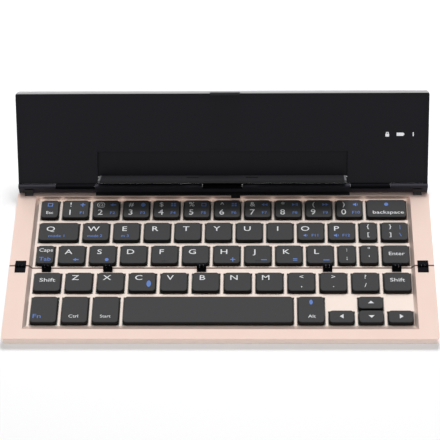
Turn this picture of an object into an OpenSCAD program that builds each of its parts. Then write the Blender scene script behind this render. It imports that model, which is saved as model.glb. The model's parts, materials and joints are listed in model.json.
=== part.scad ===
// Folding pocket keyboard: two key panels, a hinge wall and a lid that stands up as a tablet rest.
// Millimetres, +Z up, +Y away from the typist, resting on the feet at z = 0.

/* [Panels] */
// Width of the two key panels
panel_w = 251; // [246:1:262]
// Depth of the front panel, from the fold to its front edge
front_depth = 52; // [50:0.5:54]
// Depth of the middle panel, from the fold to the hinge wall
middle_depth = 55.5; // [55:0.5:58]
// Thickness of a key panel without its feet
panel_t = 4.8; // [4.7:0.1:6]
// How far the feet stand below a panel
foot_h = 0.3; // [0.2:0.1:0.6]
// Gap between the two key panels at the fold
fold_gap = 0.3; // [0.2:0.1:0.6]
// Rounding of the outer corners of the panels
corner_r = 2; // [1:0.5:3]

/* [Metal frames] */
// Thickness of the outer walls
frame_wall = 1.2; // [1:0.1:1.5]
// Thickness of the sheet over the hollow rims
rim_sheet = 0.9; // [0.7:0.1:1.1]
// Thickness of the key plate
plate_t = 0.5; // [0.4:0.1:0.6]
// Depth of the key well below the rim
well_depth = 2.5; // [2.3:0.1:2.6]
// Flat width of the side rims
side_rim = 11.4; // [11:0.1:13]
// Flat width of the front rim
front_rim = 6.8; // [6.4:0.1:8]
// Flat width of the rear rim
rear_rim = 3; // [2.8:0.1:3.4]
// Run of the sloping side walls of the well
side_slope = 2; // [1:0.1:3]
// Run of the sloping front wall of the well
front_slope = 3.9; // [2:0.1:4.2]
// Run of the steep rear wall of the well
rear_slope = 0.4; // [0.1:0.1:0.6]

/* [Bottom covers] */
// Thickness of the bottom covers
cover_t = 0.8; // [0.7:0.1:1]
// Gap between a cover and the walls around it
cover_gap = 0.15; // [0.1:0.05:0.3]
// Radius of the screw bosses
boss_r = 1.9; // [1.6:0.1:2.4]
// Radius of the screw shanks
screw_r = 0.6; // [0.5:0.1:0.8]
// Radius of the screw heads
screw_head_r = 1.3; // [1.1:0.1:1.6]
// Length of the screws below the head
screw_len = 2.8; // [2:0.1:3]
// Length of a rubber foot
foot_len = 34; // [20:1:60]
// Width of a rubber foot
foot_w = 5; // [4:0.5:7]
// Thickness of a rubber foot
foot_t = 0.7; // [0.6:0.1:0.9]

/* [Keys] */
// Gap between two keys of the first row
key_gap = 2; // [1.6:0.1:3]
// Gap between two rows of keys
row_gap = 3.1; // [2.6:0.1:4]
// Width of the narrow keys at the ends of the rows
narrow_w = 11.1; // [10.5:0.1:12]
// Width of the two wide keys
wide_w = 24.5; // [23:0.1:25]
// Width of the modifier keys in the bottom row
modifier_w = 15.9; // [15:0.1:17]
// Width of an arrow key
arrow_w = 14.9; // [14:0.1:16]
// Gap between two keys of the bottom row
bottom_gap = 2.1; // [1.5:0.1:3]
// Gap between the up and the down key
arrow_gap = 0.4; // [0.3:0.1:0.8]
// Key travel
travel = 0.9; // [0.6:0.05:0.9]
// How far a key top lies below the rim
key_drop = 0.2; // [0.1:0.1:0.4]
// How far a key skirt reaches into its hole
skirt_in = 0.25; // [0.1:0.05:0.3]
// Gap between a key skirt and its hole
hole_gap = 0.3; // [0.25:0.05:0.4]
// How far a key top is drawn in from its skirt
key_taper = 0.55; // [0.2:0.05:0.8]
// Thickness of the key cap's shell
cap_wall = 0.8; // [0.7:0.1:0.9]
// Corner radius of the key caps
key_r = 1.9; // [1:0.1:2.2]
// Gap from the outer keys to the foot of the well's wall, with the keys in the middle
key_edge = 1.1; // [1:0.1:1.6]
// How far the keys sit to the right of the panel's middle
key_shift = 0.6; // [0:0.1:0.6]
// Gap from the last row to the foot of the front wall
front_edge = 0.5; // [0.4:0.1:1]
// Gap from the third row to the fold
key_to_fold = 1.55; // [1.5:0.05:2]
// Gap from the fourth row to the fold
fold_to_row4 = 4.25; // [4:0.05:5]
// Gap from the first row to the rear wall of the well
key_to_wall = 1.75; // [1.5:0.05:2.2]

/* [Under the keys] */
// Thickness of the membrane
membrane_t = 0.25; // [0.2:0.05:0.3]
// Height of a rubber dome
dome_h = 1.45; // [1:0.05:1.5]
// Radius of a rubber dome's foot
dome_r = 2.3; // [1.8:0.1:2.4]
// Height of a folded scissor link
scissor_h = 0.8; // [0.5:0.1:1]
// Thickness of the bars of a scissor link
scissor_bar = 0.8; // [0.6:0.1:0.9]
// Radius of the space bar's steel wire
wire_r = 0.4; // [0.3:0.05:0.5]
// Length of the wire's two bent ends
wire_bend = 6; // [4:0.5:10]

/* [Fold hinges] */
// Height of the fold axis above the rims
fold_rise = 0.25; // [0.25:0.05:0.5]
// Radius of the fold knuckles
knuckle_r = 1.2; // [1:0.1:1.3]
// Radius of the fold pins
fold_pin_r = 0.5; // [0.4:0.05:0.6]
// Radial clearance of every pin in its bores
pin_fit = 0.05; // [0.02:0.01:0.08]
// Width of an inner fold hinge
inner_hinge_w = 5.5; // [5:0.1:7]
// Width of an outer fold hinge
outer_hinge_w = 6.2; // [5.5:0.1:7]
// Width of the middle knuckle of a fold hinge
mid_knuckle_w = 1.9; // [1.6:0.1:2.4]
// Side gap between two knuckles
knuckle_gap = 0.2; // [0.15:0.05:0.3]
// Length of the leaf on the front panel's rim
front_leaf = 5; // [3.5:0.1:6]
// Length of the leaf on the middle panel's rim
middle_leaf = 3.6; // [3:0.1:6]
// Thickness of the leaves
leaf_t = 0.9; // [0.7:0.1:1]
// How far the leaves stand above the rims
leaf_proud = 0.15; // [0.05:0.05:0.2]

/* [Hinge wall] */
// Thickness of the hinge wall
wall_t = 1.8; // [1.6:0.1:2.2]
// Radius of the lid knuckles
lid_knuckle_r = 1.3; // [1.2:0.1:1.4]
// Radius of the lid pins
lid_pin_r = 0.6; // [0.5:0.05:0.7]
// Length of a lid knuckle
lid_knuckle_w = 24; // [16:1:32]
// Distance of the outer lid knuckles from the middle
lid_knuckle_x = 90; // [80:1:100]
// How far a lid pin reaches into the wall at each end
pin_grip = 5; // [3:0.5:8]
// Width of the end brackets
bracket_w = 5.2; // [4:0.1:7]
// Reach of the brackets over the rear rim
bracket_reach = 2.4; // [2:0.1:2.5]
// Height of the end brackets above the rim
bracket_h = 3.7; // [3:0.1:4]
// Thickness of the bracket's foot
bracket_t = 0.6; // [0.4:0.1:0.8]
// Length of the middle bracket
long_bracket = 155; // [120:1:170]
// Width of the locating tab on the middle bracket
tab_w = 5.5; // [4:0.1:8]
// Place of the locating tab, to the right of the middle
tab_x = 8; // [0:1:30]

/* [Lid] */
// How far the open lid leans back from upright
lid_lean = 38; // [30:1:45]
// Width of the lid
lid_w = 249.4; // [244:0.2:262]
// Thickness of the lid
lid_t = 5.2; // [5:0.1:6]
// Thickness of the metal shell
shell_t = 0.8; // [0.7:0.1:1]
// Bevel around the outside of the shell
shell_bevel = 1; // [0.5:0.1:1.5]
// Thickness of the black inner panel
face_t = 1; // [0.8:0.1:1.2]
// Depth of the inner panel's field below its side rims
field_drop = 0.25; // [0.1:0.05:0.4]
// Width of the raised side rims of the inner panel
field_rim = 1.6; // [1:0.1:3]
// Gap between the folded stack and the closed lid
stack_gap = 0.3; // [0.2:0.1:0.6]
// Rounding of the two corners at the lid's free edge
lid_corner_r = 2; // [1:0.25:2]
// Height of the closed lid's face above the lid axis
face_rise = 1; // [0.8:0.1:1.2]
// Width of the latch at the lid's free edge
latch_w = 18; // [12:1:24]
// Thickness of the latch
latch_t = 1.4; // [1.2:0.1:1.8]
// Reach of the latch out of the lid's face
latch_h = 4; // [3:0.1:4.1]
// Gap between the latch and the folded stack
latch_gap = 0.4; // [0.3:0.1:0.8]
// Place of the latch, to the right of the middle
latch_x = 2; // [0:0.1:4]

/* [Stand flap] */
// Width of the pocket in the lid
pocket_w = 152; // [140:1:156]
// Height of the pocket above the flap's axis
pocket_h = 15.8; // [12:0.1:17]
// Depth of the pocket below the lid's field
pocket_depth = 1.95; // [1.9:0.05:2.2]
// Height of the flap's axis above the lid's lower edge
flap_up = 4; // [3.8:0.1:6]
// Thickness of the flap
flap_t = 1.4; // [1.2:0.1:1.5]
// Gap between the flap and the pocket's floor
flap_gap = 0.4; // [0.3:0.1:0.6]
// Gap above the closed flap for a fingertip
finger_gap = 3.2; // [0.5:0.1:4]
// Gap between each end of the flap and the pocket
flap_end_gap = 1; // [0.3:0.1:1.5]
// Opening angle of the flap from its pocket
flap_open = 92; // [86:1:98]
// Radius of the flap's pin
flap_pin_r = 0.4; // [0.3:0.05:0.45]
// Length of the two slots near the flap's root
slot_len = 7.4; // [5:0.1:10]
// Width of the two slots
slot_w = 1.8; // [1:0.1:2]
// Distance of the slots from the middle
slot_x = 18; // [12:1:40]
// Distance of the slots from the flap's axis
slot_up = 4.8; // [3:0.1:6]
// Width of the finger notch above the pocket
notch_w = 16; // [12:1:20]
// Height of the finger notch
notch_h = 1.6; // [1:0.1:2]

/* [Inside the lid] */
// Length of the battery pouch
battery_len = 118; // [80:1:120]
// Gap from the battery and the circuit board up to the lid's magnets
inner_gap = 1.05; // [0.5:0.05:6]
// Thickness of the battery pouch
battery_t = 2.6; // [1.5:0.1:2.8]
// Gap between the battery and the circuit board
board_gap = 15; // [2:1:20]
// Length of the circuit board
board_len = 58; // [40:1:64]
// Thickness of the circuit board
board_t = 0.6; // [0.4:0.1:0.8]
// Gap between the circuit board and the shell's right side
board_edge = 2.5; // [1:0.1:4]
// Side of the controller chip
chip_w = 8; // [5:0.5:10]
// Height of the controller chip
chip_h = 1; // [0.6:0.1:1.2]
// Height of the light sources
led_h = 0.5; // [0.3:0.1:0.8]
// Width of a light source
led_w = 1.6; // [1:0.1:2]
// Depth of the charging socket
port_depth = 5.6; // [5:0.1:8]
// Width of the charging socket
port_w = 7.6; // [7:0.1:9]
// Height of the charging socket
port_h = 2.5; // [2:0.1:2.8]
// Distance of the charging socket up from the circuit board's lower edge
port_up = 13; // [6:0.5:20]
// Wall of the charging socket's shell
port_wall = 0.3; // [0.2:0.05:0.4]
// Distance of the first indicator from the lid's right end
lens_from_side = 24.9; // [20:0.1:40]
// Pitch of the indicators
lens_pitch = 7.8; // [6:0.1:12]
// Distance of the indicators up from the lid's lower edge
lens_up = 30.2; // [26:0.1:44]
// Width of the first indicator
lens_w = 2.6; // [1.5:0.1:3]
// Height of the indicators
lens_h = 3; // [1.5:0.1:3.5]
// Length of a magnet
magnet_len = 10; // [6:0.5:16]
// Width of a lid magnet
lid_magnet_w = 2.5; // [2:0.1:4]
// Width of a front panel magnet
panel_magnet_w = 3; // [2:0.1:3.2]
// Thickness of the magnets
magnet_t = 2.4; // [1.5:0.1:2.6]
// Distance of the magnets from the panel's and the lid's ends
magnet_in = 25; // [15:1:60]

/* [Hidden] */
eps = 0.01;
far = 400;

// Heights of the key panels
rim_z = foot_h + panel_t;
plate_z = rim_z - well_depth;
key_top = rim_z - key_drop;
key_bottom = plate_z - skirt_in;
cover_top = foot_h + cover_t;
membrane_top = cover_top + membrane_t;
fold_z = rim_z + fold_rise;
stack_top = 2 * fold_z;

// Key field and rows
key_field = panel_w - 2 * (side_rim + side_slope + key_edge);
well_half = key_field / 2 + key_edge;
key_w = (key_field - narrow_w - wide_w - 11 * key_gap) / 10;
key_d = (middle_depth - rear_rim - rear_slope - key_to_wall - key_to_fold - 2 * row_gap) / 3;
front_well = front_depth - front_rim - front_slope;
bottom_d = front_well - front_edge - fold_to_row4 - key_d - row_gap;
arrow_d = (bottom_d - arrow_gap) / 2;
space_w = key_field - 4 * modifier_w - 3 * arrow_w - 7 * bottom_gap;
function times(w, n) = [for (i = [1:n]) w];
row_keys = [
    concat([narrow_w], times(key_w, 10), [wide_w]),
    concat([wide_w], times(key_w, 9), [narrow_w, key_w]),
    concat([narrow_w], times(key_w, 9), [narrow_w, narrow_w, key_w]),
    times(key_w, 12),
    [modifier_w, modifier_w, modifier_w, space_w, modifier_w, arrow_w, arrow_w, arrow_w]];
row_y = [
    key_to_fold + 2.5 * key_d + 2 * row_gap,
    key_to_fold + 1.5 * key_d + row_gap,
    key_to_fold + 0.5 * key_d,
    -fold_to_row4 - 0.5 * key_d,
    -fold_to_row4 - key_d - row_gap - 0.5 * bottom_d];
row_d = [key_d, key_d, key_d, key_d, bottom_d];
function sum_to(list, n) = n == 0 ? 0 : list[n - 1] + sum_to(list, n - 1);
function gap_of(r) = (key_field - sum_to(row_keys[r], len(row_keys[r]))) / (len(row_keys[r]) - 1);
function key_x(r, i) = key_shift - key_field / 2 + sum_to(row_keys[r], i) + i * gap_of(r)
    + row_keys[r][i] / 2;
up_y = row_y[4] + (arrow_gap + arrow_d) / 2;
down_y = row_y[4] - (arrow_gap + arrow_d) / 2;
up_column = 6;
side_arrows = [5, 7];
space_column = 3;
wire_room = 2 * wire_r + 0.5;

// Fold hinges: two on the side rims, five on the key plate
outer_hinge_x = panel_w / 2 - 6.6;
inner_hinge_x = [-key_field / 2 + 7.5, -0.302 * key_field, -0.052 * key_field,
    0.283 * key_field, key_field / 2 - 7.5];
front_web = 2.9;
middle_web = key_to_fold - hole_gap - 0.05;
web_gap = knuckle_r + 0.3;
leaf_z = rim_z + leaf_proud;

// Screws stand in the hollow side rims
boss_x = panel_w / 2 - frame_wall - 2.6;
boss_from_fold = 9;
boss_from_edge = 6;

// Lid axis and the lid's own frame: y up the lid, z out of its inner face
lid_y = middle_depth + wall_t / 2;
lid_z = stack_top + stack_gap - face_rise;
lid_foot = lid_knuckle_r + 0.2;
lid_top = lid_y + latch_gap - fold_gap / 2 + latch_t;
face_n = -face_rise;
field_n = face_n - field_drop;
under_n = face_n - face_t;
back_n = face_n - lid_t;
floor_n = back_n + shell_t;
lip = 1;
field_top = lid_top - latch_t - 0.2;
knuckle_xs = [-lid_knuckle_x, 0, lid_knuckle_x];
arm_t = 1.2;

// Flap in its pocket
pocket_below = 1.4;
flap_s = lid_foot + flap_up;
pocket_n = field_n - pocket_depth;
flap_n = pocket_n + flap_gap + flap_t / 2;
pocket_low = flap_s - pocket_below;
pocket_high = flap_s + pocket_h;
flap_len = pocket_h - finger_gap;
flap_w = pocket_w - 2 * flap_end_gap;
tray_t = 0.6;
flap_barrel_r = 0.8;
arm_reach = pocket_low - tray_t - 0.1;

// Inside the lid
inside_s = pocket_high + tray_t + notch_h + 1.5;
board_x = lid_w / 2 - shell_t - board_edge - board_len / 2;
battery_x = board_x - board_len / 2 - board_gap - battery_len / 2;
inner_h = lid_top - lip - 0.5 - lid_magnet_w - inner_gap - inside_s;
port_s = inside_s + port_up;
lens_s = lid_foot + lens_up;
lens_xs = [lid_w / 2 - lens_from_side, lid_w / 2 - lens_from_side + lens_pitch,
    lid_w / 2 - lens_from_side + 2 * lens_pitch];
lens_ws = [lens_w, 2 * lens_w, 0.65 * lens_w];

// The origin lies under the middle of the whole, so the fold lies in front of it
rear_reach = lid_y + max(
    (lid_top - shell_bevel) * sin(lid_lean) - back_n * cos(lid_lean),
    lid_top * sin(lid_lean) - (back_n + shell_bevel) * cos(lid_lean));
fold_y = (front_depth - rear_reach) / 2;

rose = "#e9c6b6";
rose_dark = "#c9a08f";
black = "#1b1b1e";
key_black = "#3a3a3d";
steel = "#b9bcc0";
rubber_grey = "#4a4a4c";

// Puts a piece drawn from the fold line into the part's frame
module base(c) color(c) translate([0, fold_y, 0]) children();

// Puts a piece drawn in the lid's frame on the open lid
module on_lid(c)
    base(c) translate([0, lid_y, lid_z]) rotate([90 - lid_lean, 0, 0]) children();

// Puts a piece drawn in the flap's frame on the open flap
module on_flap(c) on_lid(c) translate([0, flap_s, flap_n]) rotate([flap_open, 0, 0]) children();

// Box from a low corner to a high corner
module box(a, b) translate(a) cube(b - a);

// Outline in y and z, extruded along x and centred
module bar(length, points) rotate([90, 0, 90])
    translate([0, 0, -length / 2]) linear_extrude(length) polygon(points);

// Outline in x and z, extruded along y from y0 to y1
module beam(y0, y1, points) translate([0, y1, 0])
    rotate([90, 0, 0]) linear_extrude(y1 - y0) polygon(points);

// Cylinder along x, centred
module rod(length, r) rotate([0, 90, 0]) cylinder(h = length, r = r, center = true, $fn = 48);

// Rectangle with rounded corners, centred
module rounded(w, d, r) {
    square([w - 2 * r, d], center = true);
    square([w, d - 2 * r], center = true);
    for (x = [-1, 1], y = [-1, 1])
        translate([x * (w / 2 - r), y * (d / 2 - r)]) circle(r = r, $fn = 12);
}

// Panel outline drawn away from the fold, with its two outer corners rounded
module panel_outline(depth) intersection() {
    translate([0, fold_gap / 2]) rounded(panel_w, 2 * (depth - fold_gap / 2), corner_r);
    translate([-far / 2, fold_gap / 2]) square([far, depth - fold_gap / 2]);
}

// Key well with sloping walls, open towards the fold
module well(run, slope) intersection() {
    beam(-1, run + slope + 1, [[-well_half, plate_z], [well_half, plate_z],
        [well_half + 2 * side_slope, plate_z + 2 * well_depth],
        [-well_half - 2 * side_slope, plate_z + 2 * well_depth]]);
    bar(far, [[-1, plate_z], [run, plate_z], [run + slope, rim_z], [run + slope, rim_z + 1],
        [-1, rim_z + 1]]);
}

// Bosses stand on the cover's edge and reach up to the rim's sheet
module boss_places(depth)
    for (x = [-1, 1], y = [boss_from_fold, depth / 2 + 1, depth - boss_from_edge])
        translate([x * boss_x, y, 0]) children();

// Metal frame drawn away from the fold, without its key holes and hinge pockets
module frame_blank(depth, run, slope, rim) {
    difference() {
        translate([0, 0, foot_h]) linear_extrude(panel_t) panel_outline(depth);
        well(run, slope);
        box([-panel_w / 2 + frame_wall, fold_gap / 2 + frame_wall, foot_h - 1],
            [panel_w / 2 - frame_wall, depth - frame_wall, plate_z - plate_t]);
        for (x = [-1, 1]) {
            side = panel_w / 2 - frame_wall;
            inner = well_half + side_slope + rim_sheet;
            translate([x * (side + inner) / 2, (depth - frame_wall + front_leaf + 1.5) / 2, 0])
                box([-(side - inner) / 2, -(depth - frame_wall - front_leaf - 1.5) / 2, foot_h - 1],
                    [(side - inner) / 2, (depth - frame_wall - front_leaf - 1.5) / 2,
                        rim_z - rim_sheet]);
        }
        if (rim > 2 * frame_wall + 2)
            box([-well_half, run + slope + rim_sheet, foot_h - 1],
                [well_half, depth - frame_wall, rim_z - rim_sheet]);
    }
    boss_places(depth) difference() {
        translate([0, 0, cover_top]) cylinder(h = rim_z - rim_sheet / 2 - cover_top, r = boss_r, $fn = 32);
        translate([0, 0, -1]) cylinder(h = screw_len + foot_h + 1.6, r = screw_r + pin_fit, $fn = 32);
    }
}

// Everything that stands at one key of a row, with its width and depth
module at_key(r, i) translate([key_x(r, i), row_y[r], 0]) children();

// Hole for one key
module key_hole(w, d) translate([-w / 2 - hole_gap, -d / 2 - hole_gap, foot_h])
    cube([w + 2 * hole_gap, d + 2 * hole_gap, rim_z]);

module row_holes(r, skip) for (i = [0:len(row_keys[r]) - 1])
    if (len(search(i, skip)) == 0) at_key(r, i) key_hole(row_keys[r][i], row_d[r]);

// Pocket for an outer hinge in the rims, drawn for the leaf's direction
module rim_pocket(x, reach) translate([x, 0, 0]) {
    box([-outer_hinge_w / 2 - 0.1, -web_gap, fold_z - web_gap],
        [outer_hinge_w / 2 + 0.1, web_gap, rim_z + 1]);
    box([-outer_hinge_w / 2 - 0.1, -1, leaf_z - leaf_t],
        [outer_hinge_w / 2 + 0.1, reach, rim_z + 1]);
}

module middle_frame() base(rose) difference() {
    frame_blank(middle_depth, middle_depth - rear_rim - rear_slope, rear_slope, rear_rim);
    for (r = [0:2]) row_holes(r, []);
    for (x = [-outer_hinge_x, outer_hinge_x]) rim_pocket(x, middle_leaf);
}

module front_frame() base(rose) difference() {
    mirror([0, 1, 0]) frame_blank(front_depth, front_well, front_slope, front_rim);
    row_holes(3, []);
    row_holes(4, concat(side_arrows, [up_column]));
    for (i = side_arrows) translate([key_x(4, i), down_y, 0]) key_hole(arrow_w, arrow_d);
    at_key(4, up_column) key_hole(arrow_w, bottom_d);
    for (x = [-outer_hinge_x, outer_hinge_x]) mirror([0, 1, 0]) rim_pocket(x, front_leaf);
}

// Bottom cover drawn away from the fold, with recesses for feet and screws
module bottom_cover(depth) {
    low = fold_gap / 2 + frame_wall + cover_gap;
    difference() {
        box([-panel_w / 2 + frame_wall + cover_gap, low, foot_h],
            [panel_w / 2 - frame_wall - cover_gap, depth - frame_wall - cover_gap, cover_top]);
        foot_places(depth) translate([0, 0, foot_h - 1])
            linear_extrude(foot_t - foot_h + 1) rounded(foot_len + 0.1, foot_w + 0.1, foot_w / 2);
        boss_places(depth) {
            translate([0, 0, foot_h - 1]) cylinder(h = 1.45, r = screw_head_r + 0.1, $fn = 32);
            cylinder(h = rim_z, r = screw_r + 0.1, $fn = 32);
        }
    }
}

module foot_places(depth) for (x = [-1, 1], y = [6.5, depth - 6.5])
    translate([x * (panel_w / 2 - 32), y, 0]) children();

module feet(depth) foot_places(depth)
    linear_extrude(foot_t) rounded(foot_len, foot_w, foot_w / 2 - 0.05);

module screws(depth) boss_places(depth) {
    translate([0, 0, foot_h]) cylinder(h = 0.45, r = screw_head_r, $fn = 32);
    translate([0, 0, foot_h]) cylinder(h = screw_len, r = screw_r, $fn = 32);
}

module middle_bottom_cover() base(rose_dark) bottom_cover(middle_depth);
module front_bottom_cover() base(rose_dark) mirror([0, 1, 0]) bottom_cover(front_depth);
module middle_feet() base(rubber_grey) feet(middle_depth);
module front_feet() base(rubber_grey) mirror([0, 1, 0]) feet(front_depth);
module middle_screws() base(steel) screws(middle_depth);
module front_screws() base(steel) mirror([0, 1, 0]) screws(front_depth);

// Membrane with its printed switches, lying on the cover under the whole well
module membrane(from, to) box([-well_half + 1, from, cover_top], [well_half - 1, to, membrane_top]);

module middle_membrane() base("#cfd3c8")
    membrane(fold_gap / 2 + frame_wall + 0.4, middle_depth - frame_wall - 1);
module front_membrane() base("#cfd3c8")
    membrane(-front_well - 0.4, -fold_gap / 2 - frame_wall - 0.4);

// One rubber dome
module dome() translate([0, 0, membrane_top])
    cylinder(h = dome_h, r1 = dome_r, r2 = 0.55 * dome_r, $fn = 32);

// One folded scissor link around the dome; the one of the longest key leaves room for its wire
module scissor(w, d) {
    fw = min(w, key_w) - 2 * cap_wall - 1.2;
    fd = d - 2 * cap_wall - 1.2 - (w == space_w ? 2 * wire_room : 0);
    translate([0, 0, membrane_top]) linear_extrude(scissor_h) difference() {
        square([fw, fd], center = true);
        square([fw - 2 * scissor_bar, fd - 2 * scissor_bar], center = true);
    }
}

// Places under all keys of some rows, with the width and depth of each key in $w and $d
module under_keys(rows) for (r = rows, i = [0:len(row_keys[r]) - 1]) {
    $w = row_keys[r][i];
    if (r < 4 || len(search(i, concat(side_arrows, [up_column]))) == 0) {
        $d = row_d[r];
        at_key(r, i) children();
    } else {
        $d = arrow_d;
        translate([key_x(r, i), down_y, 0]) children();
        if (i == up_column) translate([key_x(r, i), up_y, 0]) children();
    }
}

module middle_domes() base("#e6e2d6") under_keys([0, 1, 2]) dome();
module front_domes() base("#e6e2d6") under_keys([3, 4]) dome();
module middle_scissors() base("#f2f2f0") under_keys([0, 1, 2]) scissor($w, $d);
module front_scissors() base("#f2f2f0") under_keys([3, 4]) scissor($w, $d);

// Steel wire that keeps the long bar level: a straight rod with its two ends bent forward
module space_bar_stabiliser() base(steel)
    translate([key_x(4, space_column), row_y[4] + bottom_d / 2 - cap_wall - wire_room / 2 - 0.4,
        membrane_top + wire_r]) {
        half = space_w / 2 - cap_wall - 2;
        rod(2 * half, wire_r);
        for (x = [-1, 1]) translate([x * half, 0, 0]) {
            rotate([90, 0, 0]) cylinder(h = wire_bend, r = wire_r, $fn = 24);
            sphere(r = wire_r, $fn = 24);
        }
    }

// Key cap: a tapered shell, open below
module cap(w, d) {
    h = key_top - key_bottom;
    difference() {
        intersection() {
            translate([0, 0, key_bottom]) beam(-d / 2, d / 2, [[-w / 2, 0], [w / 2, 0],
                [w / 2 - key_taper, h], [-w / 2 + key_taper, h]]);
            translate([0, 0, key_bottom]) bar(w, [[-d / 2, 0], [d / 2, 0],
                [d / 2 - key_taper, h], [-d / 2 + key_taper, h]]);
            translate([0, 0, key_bottom]) linear_extrude(h) rounded(w, d, key_r);
        }
        box([-w / 2 + cap_wall, -d / 2 + cap_wall, key_bottom - 1],
            [w / 2 - cap_wall, d / 2 - cap_wall, key_top - cap_wall]);
    }
}

// Caps first to last of one row
module keys(r, first, last) base(key_black)
    for (i = [first:last]) at_key(r, i) cap(row_keys[r][i], row_d[r]);

module arrow(i, y) base(key_black) translate([key_x(4, i), y, 0]) cap(arrow_w, arrow_d);

module esc_key() keys(0, 0, 0);
module number_keys_left() keys(0, 1, 5);
module number_keys_right() keys(0, 6, 10);
module backspace_key() keys(0, 11, 11);
module q_key() keys(1, 0, 0);
module upper_keys_left() keys(1, 1, 4);
module upper_keys_right() keys(1, 5, 9);
module bracket_keys() keys(1, 10, 11);
module caps_key() keys(2, 0, 0);
module home_keys_left() keys(2, 1, 5);
module home_keys_right() keys(2, 6, 9);
module quote_keys() keys(2, 10, 11);
module enter_key() keys(2, 12, 12);
module left_shift_key() keys(3, 0, 0);
module lower_keys_left() keys(3, 1, 5);
module lower_keys_right() keys(3, 6, 10);
module right_shift_key() keys(3, 11, 11);
module fn_key() keys(4, 0, 0);
module ctrl_key() keys(4, 1, 1);
module start_key() keys(4, 2, 2);
module space_bar() keys(4, 3, 3);
module alt_key() keys(4, 4, 4);
module left_arrow_key() arrow(5, down_y);
module up_arrow_key() arrow(6, up_y);
module down_arrow_key() arrow(6, down_y);
module right_arrow_key() arrow(7, down_y);

// Side view of an inner knuckle: a barrel on a web that stands on the key plate
module web_side(reach) {
    translate([0, fold_z]) circle(r = knuckle_r, $fn = 48);
    polygon([[fold_gap / 2, plate_z], [reach, plate_z],
        [min(reach, knuckle_r) * 0.85, fold_z + knuckle_r * 0.5], [0, fold_z],
        [fold_gap / 2, fold_z - knuckle_r]]);
}

// Side view of an outer knuckle: a barrel on a leaf let into the rim
module leaf_side(reach) {
    translate([0, fold_z]) circle(r = knuckle_r, $fn = 48);
    translate([0, leaf_z - leaf_t]) square([reach, leaf_t]);
}

// Extrudes a side view along x, centred, and drills the pin's bore
module knuckle(w) difference() {
    rotate([90, 0, 90]) translate([0, 0, -w / 2]) linear_extrude(w) children();
    translate([0, 0, fold_z]) rod(w + 1, fold_pin_r + pin_fit);
}

// Knuckles of the middle panel: the narrow ones in the middle of each hinge
module middle_fold_knuckles() base(black) {
    for (x = inner_hinge_x) translate([x, 0, 0]) knuckle(mid_knuckle_w) web_side(middle_web);
    for (x = [-outer_hinge_x, outer_hinge_x]) translate([x, 0, 0]) {
        knuckle(mid_knuckle_w) leaf_side(middle_leaf);
        box([-outer_hinge_w / 2, web_gap, leaf_z - leaf_t], [outer_hinge_w / 2, middle_leaf, leaf_z]);
    }
}

// Knuckles of the front panel: a pair around each middle knuckle, joined in front of it
module front_fold_knuckles() base(black) mirror([0, 1, 0]) {
    for (x = inner_hinge_x) translate([x, 0, 0]) forked(inner_hinge_w) web_side(front_web);
    for (x = [-outer_hinge_x, outer_hinge_x]) translate([x, 0, 0])
        forked(outer_hinge_w) leaf_side(front_leaf);
}

module forked(w) difference() {
    knuckle(w) children();
    box([-mid_knuckle_w / 2 - knuckle_gap, -web_gap, plate_z - 1],
        [mid_knuckle_w / 2 + knuckle_gap, web_gap, fold_z + 2]);
}

// Steel pins through the fold hinges
module fold_pins() base(steel) {
    for (x = inner_hinge_x) translate([x, 0, fold_z]) rod(inner_hinge_w - 0.4, fold_pin_r);
    for (x = [-outer_hinge_x, outer_hinge_x])
        translate([x, 0, fold_z]) rod(outer_hinge_w - 0.4, fold_pin_r);
}

// Magnets in the hollow front rim, lying on the cover
module front_magnets() base(steel) for (x = [-1, 1])
    translate([x * (panel_w / 2 - magnet_in) - magnet_len / 2, -front_depth + frame_wall + 0.3, cover_top])
        cube([magnet_len, panel_magnet_w, magnet_t]);

// Wall behind the middle panel, with a barrel along its top that the lid turns in
module hinge_wall() base(black) difference() {
    union() {
        box([-lid_w / 2, middle_depth, foot_h + 0.3], [lid_w / 2, middle_depth + wall_t, lid_z]);
        translate([0, lid_y, lid_z]) rod(lid_w, lid_knuckle_r);
    }
    for (x = knuckle_xs) translate([x, 0, 0]) {
        box([-lid_knuckle_w / 2 - knuckle_gap, 0, lid_z - lid_knuckle_r - 0.3],
            [lid_knuckle_w / 2 + knuckle_gap, far, lid_z + 5]);
        translate([0, lid_y, lid_z]) rod(lid_knuckle_w + 2 * pin_grip + 0.2, lid_pin_r + pin_fit);
    }
}

// Feet of the hinge wall on the rear rim: a long flat one and a gusset at each end
module rear_hinge_brackets() base("#5a5b60") {
    foot_y = middle_depth - bracket_reach;
    bar(long_bracket, [[foot_y, rim_z], [middle_depth, rim_z], [middle_depth, rim_z + bracket_t],
        [foot_y, rim_z + bracket_t]]);
    box([tab_x - tab_w / 2, foot_y - 2.1, rim_z], [tab_x + tab_w / 2, foot_y + 1, rim_z + 0.3]);
    for (x = [-1, 1]) translate([x * (panel_w / 2 - 7), 0, 0])
        bar(bracket_w, [[foot_y, rim_z], [middle_depth, rim_z],
            [middle_depth, rim_z + bracket_h], [middle_depth - 0.8, rim_z + bracket_h],
            [middle_depth - 1.3, rim_z + 1.1], [foot_y, rim_z + bracket_t]]);
}

// Steel pins that the lid turns on
module lid_hinge_pins() base(steel) for (x = knuckle_xs)
    translate([x, lid_y, lid_z]) rod(lid_knuckle_w + 2 * pin_grip, lid_pin_r);

// Outline of the lid with its two free corners rounded
module lid_outline() translate([0, 0, back_n - 1]) linear_extrude(lid_t + 3) intersection() {
    rounded(lid_w, 2 * lid_top, lid_corner_r);
    translate([-far / 2, 0]) square([far, far]);
}

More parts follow.
